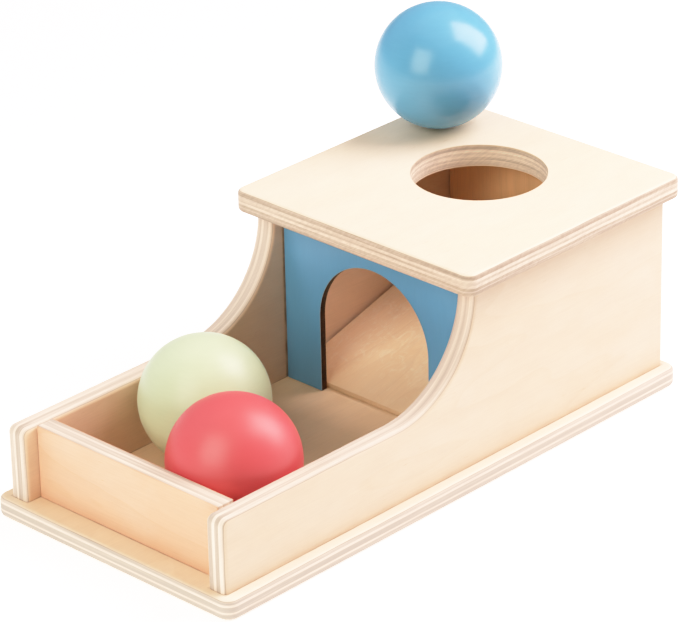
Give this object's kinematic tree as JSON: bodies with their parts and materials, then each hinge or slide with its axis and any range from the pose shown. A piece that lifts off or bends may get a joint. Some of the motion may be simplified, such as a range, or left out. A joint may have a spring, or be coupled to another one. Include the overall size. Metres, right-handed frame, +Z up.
{
  "type": "object permanence box",
  "caption": "Plywood object permanence box: open tray, lidded chamber with a round drop hole, inner ramp and arched doorway, with loose painted wooden balls.",
  "frame": {"origin": "centre of the base plate's underside, which is the face that it stands on", "axes": "+X to the right, +Y from the open tray to the lidded chamber, along the box, +Z up"},
  "size_m": [0.1289, 0.2502, 0.1388],
  "materials": {
    "plywood": "sanded birch plywood, clear satin lacquer",
    "front_plywood": "sanded birch plywood, clear satin lacquer",
    "ramp_board": "sanded thin plywood",
    "batten_wood": "sawn softwood",
    "dowel_wood": "plain beech",
    "arch_paint": "matt blue paint on the front face, browned cut edges",
    "blue_paint": "satin water-based paint",
    "green_paint": "satin water-based paint",
    "red_paint": "satin water-based paint"
  },
  "bodies": {
    "box": {"base_plate": "plywood", "left_side": "plywood", "right_side": "plywood", "front_panel": "front_plywood", "arch_panel": "arch_paint", "back_panel": "plywood", "top_plate": "plywood", "ramp": "ramp_board", "ramp_cleat": "batten_wood", "base_dowels_left": "dowel_wood", "base_dowels_right": "dowel_wood", "top_dowels_left": "dowel_wood", "top_dowels_right": "dowel_wood", "front_panel_dowels": "dowel_wood", "back_panel_dowels": "dowel_wood"},
    "blue_ball": {"blue_ball": "blue_paint"},
    "green_ball": {"green_ball": "green_paint"},
    "red_ball": {"red_ball": "red_paint"}
  },
  "joints": [
    {"name": "blue_ball_to_hole", "type": "slide", "parent": "box", "child": "blue_ball", "axis": [0.8692, -0.4944, 0], "range_m": [0, 0.0494]},
    {"name": "green_ball_along_tray", "type": "slide", "parent": "box", "child": "green_ball", "axis": [0, 1, 0], "range_m": [0, 0.043]},
    {"name": "red_ball_lift", "type": "slide", "parent": "box", "child": "red_ball", "axis": [0, 0, 1], "range_m": [0, 0.1]}
  ]
}
